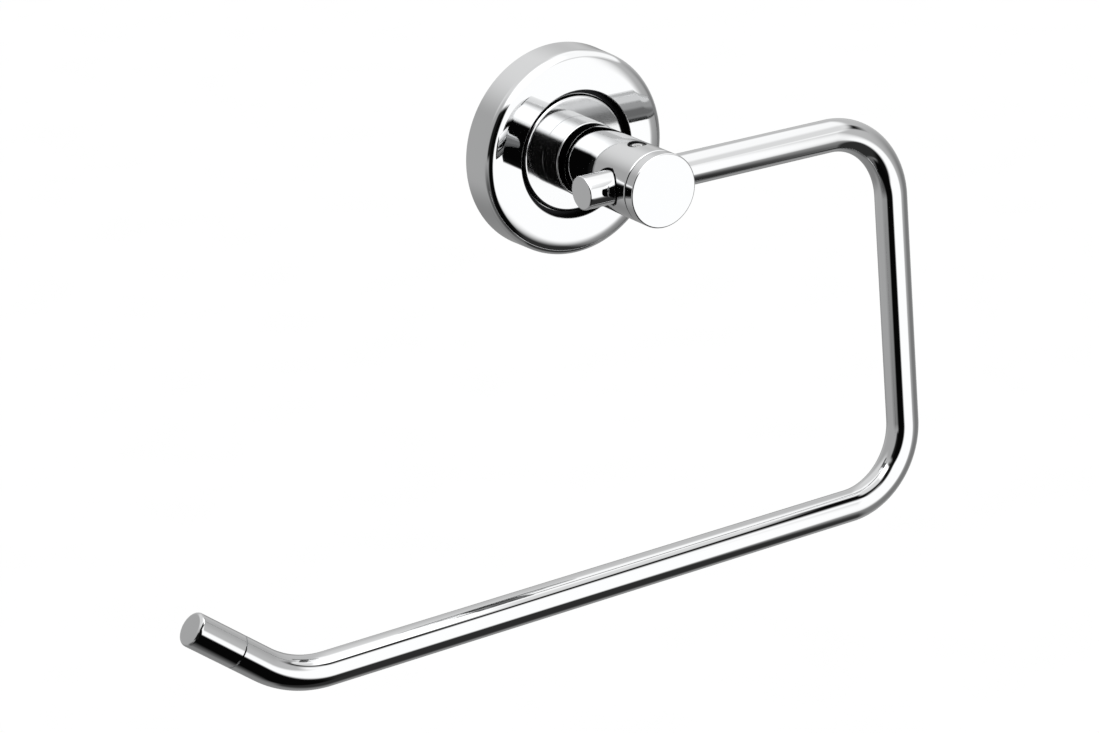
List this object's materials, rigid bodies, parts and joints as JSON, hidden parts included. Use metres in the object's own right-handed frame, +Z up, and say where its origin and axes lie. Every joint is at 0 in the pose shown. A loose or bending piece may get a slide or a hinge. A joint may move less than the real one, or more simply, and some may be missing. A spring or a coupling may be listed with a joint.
{
  "type": "towel ring",
  "caption": "Chrome open towel ring: a bent tube with a turned-up end, clamped through a round post on a wall rose with a sunk centre disc.",
  "frame": {"origin": "centre of the wall plate's back face, on the wall and on the post's axis", "axes": "+Y into the wall, so the post stands out along -Y; +X along the top run of the ring; +Z up"},
  "size_m": [0.204, 0.0475, 0.1226],
  "materials": {
    "chrome": "polished chrome plate",
    "screw_steel": "plain stainless steel",
    "plate_zinc": "zinc plated"
  },
  "bodies": {
    "root": {"wall_plate": "plate_zinc", "rose_cover": "chrome", "rose_set_screw": "screw_steel", "step_disc": "chrome", "post_base": "chrome", "post_head": "chrome", "head_cap": "chrome", "post_screw": "screw_steel", "post_washer": "screw_steel", "rod_set_screw": "screw_steel", "ring_tube": "chrome", "end_cap": "chrome", "stub_plug": "chrome"}
  },
  "joints": []
}
